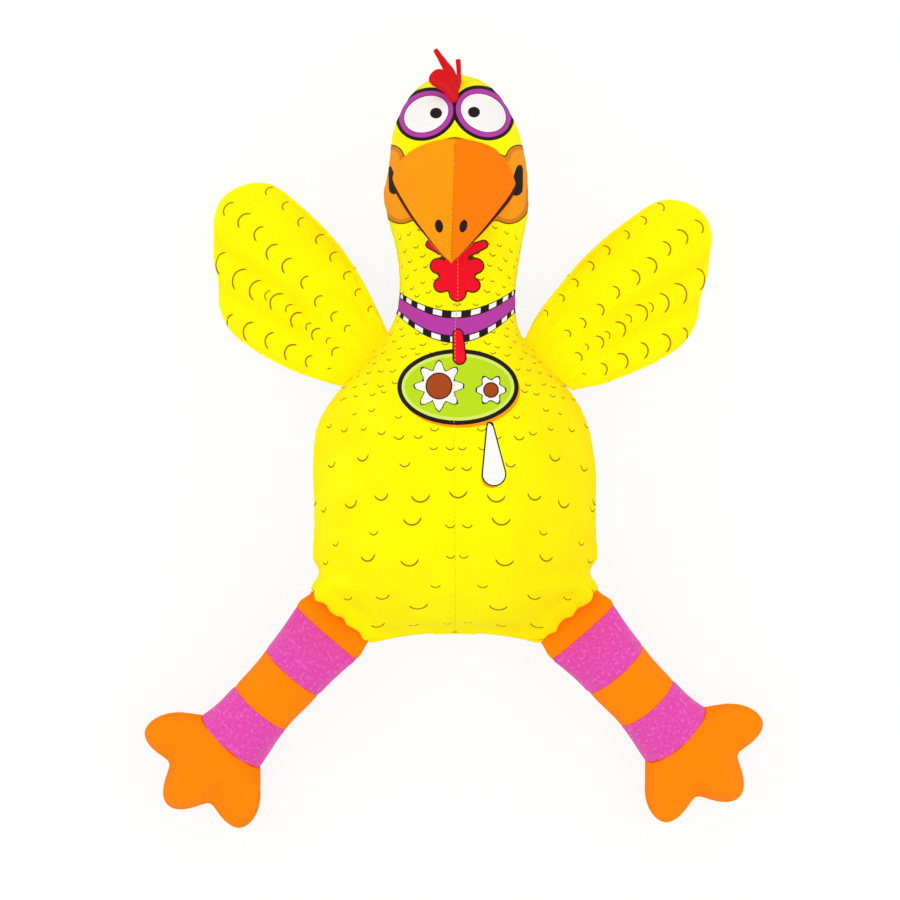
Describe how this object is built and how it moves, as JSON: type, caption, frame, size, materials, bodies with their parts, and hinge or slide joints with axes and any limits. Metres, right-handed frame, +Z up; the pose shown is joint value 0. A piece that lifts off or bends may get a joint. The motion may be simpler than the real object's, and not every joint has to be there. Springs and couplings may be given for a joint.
{
  "type": "stuffed cloth chicken toy",
  "caption": "Stuffed cloth chicken toy lying on its back: printed canvas body with floppy neck, wings and plush-banded legs, felt comb and a squeaker inside.",
  "frame": {"origin": "middle of the flat on the back that the toy lies on", "axes": "+Z up out of the belly, +Y towards the head, +X towards the wing on the right of the picture"},
  "size_m": [0.3066, 0.3887, 0.0983],
  "materials": {
    "yellow_canvas": "printed canvas",
    "orange_canvas": "printed canvas",
    "pink_plush": "short pile plush",
    "red_felt": "felt",
    "fibre_fill": "loose polyester fibre",
    "sewing_thread": "twisted thread",
    "squeaker_plastic": "moulded",
    "reed_film": "thin film"
  },
  "bodies": {
    "torso": {"torso_front_left": "yellow_canvas", "torso_front_right": "yellow_canvas", "torso_back": "yellow_canvas", "torso_filling_front": "fibre_fill", "torso_filling_back": "fibre_fill", "squeaker_cup": "squeaker_plastic", "squeaker_reed_tube": "squeaker_plastic", "squeaker_reed": "reed_film", "neck_sleeve": "yellow_canvas", "neck_filling": "fibre_fill", "left_wing_thread": "sewing_thread", "right_wing_thread": "sewing_thread", "left_leg_thread": "sewing_thread", "right_leg_thread": "sewing_thread"},
    "head": {"head_front_left": "yellow_canvas", "head_front_right": "yellow_canvas", "head_back": "yellow_canvas", "head_filling": "fibre_fill", "beak_left": "orange_canvas", "beak_right": "orange_canvas", "beak_filling": "fibre_fill", "comb_thread": "sewing_thread"},
    "comb": {"comb": "red_felt"},
    "squeaker_dome": {"squeaker_dome": "squeaker_plastic"},
    "left_wing": {"left_wing_front": "yellow_canvas", "left_wing_back": "yellow_canvas", "left_wing_filling": "fibre_fill"},
    "left_leg": {"left_thigh_band": "orange_canvas", "left_upper_plush_band": "pink_plush", "left_shin_band": "orange_canvas", "left_lower_plush_band": "pink_plush", "left_leg_filling": "fibre_fill", "left_foot_front": "orange_canvas", "left_foot_back": "orange_canvas", "left_foot_filling": "fibre_fill"},
    "right_wing": {"right_wing_front": "yellow_canvas", "right_wing_back": "yellow_canvas", "right_wing_filling": "fibre_fill"},
    "right_leg": {"right_thigh_band": "orange_canvas", "right_upper_plush_band": "pink_plush", "right_shin_band": "orange_canvas", "right_lower_plush_band": "pink_plush", "right_leg_filling": "fibre_fill", "right_foot_front": "orange_canvas", "right_foot_back": "orange_canvas", "right_foot_filling": "fibre_fill"}
  },
  "joints": [
    {"name": "neck_bend", "type": "hinge", "parent": "torso", "child": "head", "pos_m": [0, 0.0989, 0.032], "axis": [1, 0, 0], "range_deg": [0, 40], "deforming": ["neck_sleeve", "neck_filling"]},
    {"name": "left_wing_flap", "type": "hinge", "parent": "torso", "child": "left_wing", "pos_m": [-0.04599, 0.07067, 0.027], "axis": [0.6672, 0.7448, 0], "range_deg": [0, 70]},
    {"name": "left_leg_swing", "type": "hinge", "parent": "torso", "child": "left_leg", "pos_m": [-0.05816, -0.05925, 0.027], "axis": [-0.7541, 0.6568, 0], "range_deg": [0, 75]},
    {"name": "right_wing_flap", "type": "hinge", "parent": "torso", "child": "right_wing", "pos_m": [0.04599, 0.07067, 0.027], "axis": [0.6672, -0.7448, 0], "range_deg": [0, 70]},
    {"name": "right_leg_swing", "type": "hinge", "parent": "torso", "child": "right_leg", "pos_m": [0.05816, -0.05925, 0.027], "axis": [-0.7541, -0.6568, 0], "range_deg": [0, 75]},
    {"name": "comb_fold", "type": "hinge", "parent": "head", "child": "comb", "pos_m": [0, 0.19859, 0.05327], "axis": [0, 0.7171, -0.697], "range_deg": [-35, 100], "stiffness_Nm_per_rad": 0.001},
    {"name": "squeaker_press", "type": "slide", "parent": "torso", "child": "squeaker_dome", "axis": [0, 0, -1], "range_m": [0, 0.006], "stiffness_N_per_m": 600}
  ]
}
